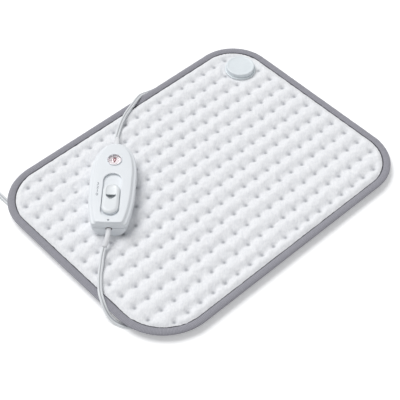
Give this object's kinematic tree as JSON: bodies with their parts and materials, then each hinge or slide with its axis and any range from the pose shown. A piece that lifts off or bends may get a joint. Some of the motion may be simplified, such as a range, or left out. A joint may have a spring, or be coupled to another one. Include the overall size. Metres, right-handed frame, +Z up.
{
  "type": "heating pad with controller",
  "caption": "Quilted rectangular heating pad with bound edge, round lead entry, hand controller with sliding heat setting and number window, and coiled mains lead with plug.",
  "frame": {"origin": "on the surface the pad lies on, under the middle of the pad", "axes": "+X along the pad's long side towards the lead entry, +Y towards the long side beside the lead entry, +Z up"},
  "size_m": [0.4663, 0.4054, 0.0378],
  "materials": {
    "fleece": "soft quilted fleece",
    "trim": "ribbed woven tape",
    "felt": "thin felt",
    "element": "coated wire",
    "shell": "satin pale blue-white plastic",
    "knob": "satin",
    "entry": "milky pale blue plastic",
    "flex": "soft satin cord",
    "dark": "matt",
    "lens": "clear moulded lens",
    "strip": "matt white with red digits",
    "board": "lacquered board",
    "component": "moulded",
    "lamp": "clear red",
    "steel": "bright",
    "brass": "bright"
  },
  "bodies": {
    "pad_and_controller": {"back_cover": "fleece", "element_carrier": "felt", "heating_wire": "element", "thermal_cutout_1": "element", "thermal_cutout_2": "element", "quilted_cover": "fleece", "edge_binding": "trim", "entry_base": "entry", "entry_cap": "entry", "entry_terminal": "strip", "entry_screw_1": "steel", "entry_screw_2": "steel", "entry_strain_relief": "flex", "housing_lower": "shell", "housing_upper": "shell", "window_lens": "lens", "window_mask": "dark", "circuit_board": "board", "film_capacitor": "component", "triac": "dark", "fuse": "lens", "resistor": "component", "indicator_lamp": "lamp", "contact_rail_1": "brass", "contact_rail_2": "brass", "detent_spring": "steel", "housing_screw_1": "steel", "housing_screw_2": "steel", "housing_screw_3": "steel", "housing_screw_4": "steel", "nose_strain_relief": "flex", "tail_strain_relief": "flex", "nose_inner_lead": "flex", "tail_inner_lead": "flex", "nose_cord_clamp": "shell", "tail_cord_clamp": "shell", "pad_lead": "flex", "mains_lead": "flex", "mains_coil": "flex", "coil_tie": "dark", "plug_strain_relief": "flex", "plug_body": "flex", "plug_pin_1": "steel", "plug_pin_2": "steel"},
    "slider": {"slider_knob": "knob", "slider_carrier": "strip", "slider_screw": "steel", "number_strip": "strip", "contact_bridge": "brass"}
  },
  "joints": [
    {"name": "slider_slide", "type": "slide", "parent": "pad_and_controller", "child": "slider", "axis": [0.7009, 0.7133, 0], "range_m": [0, 0.0156]}
  ]
}
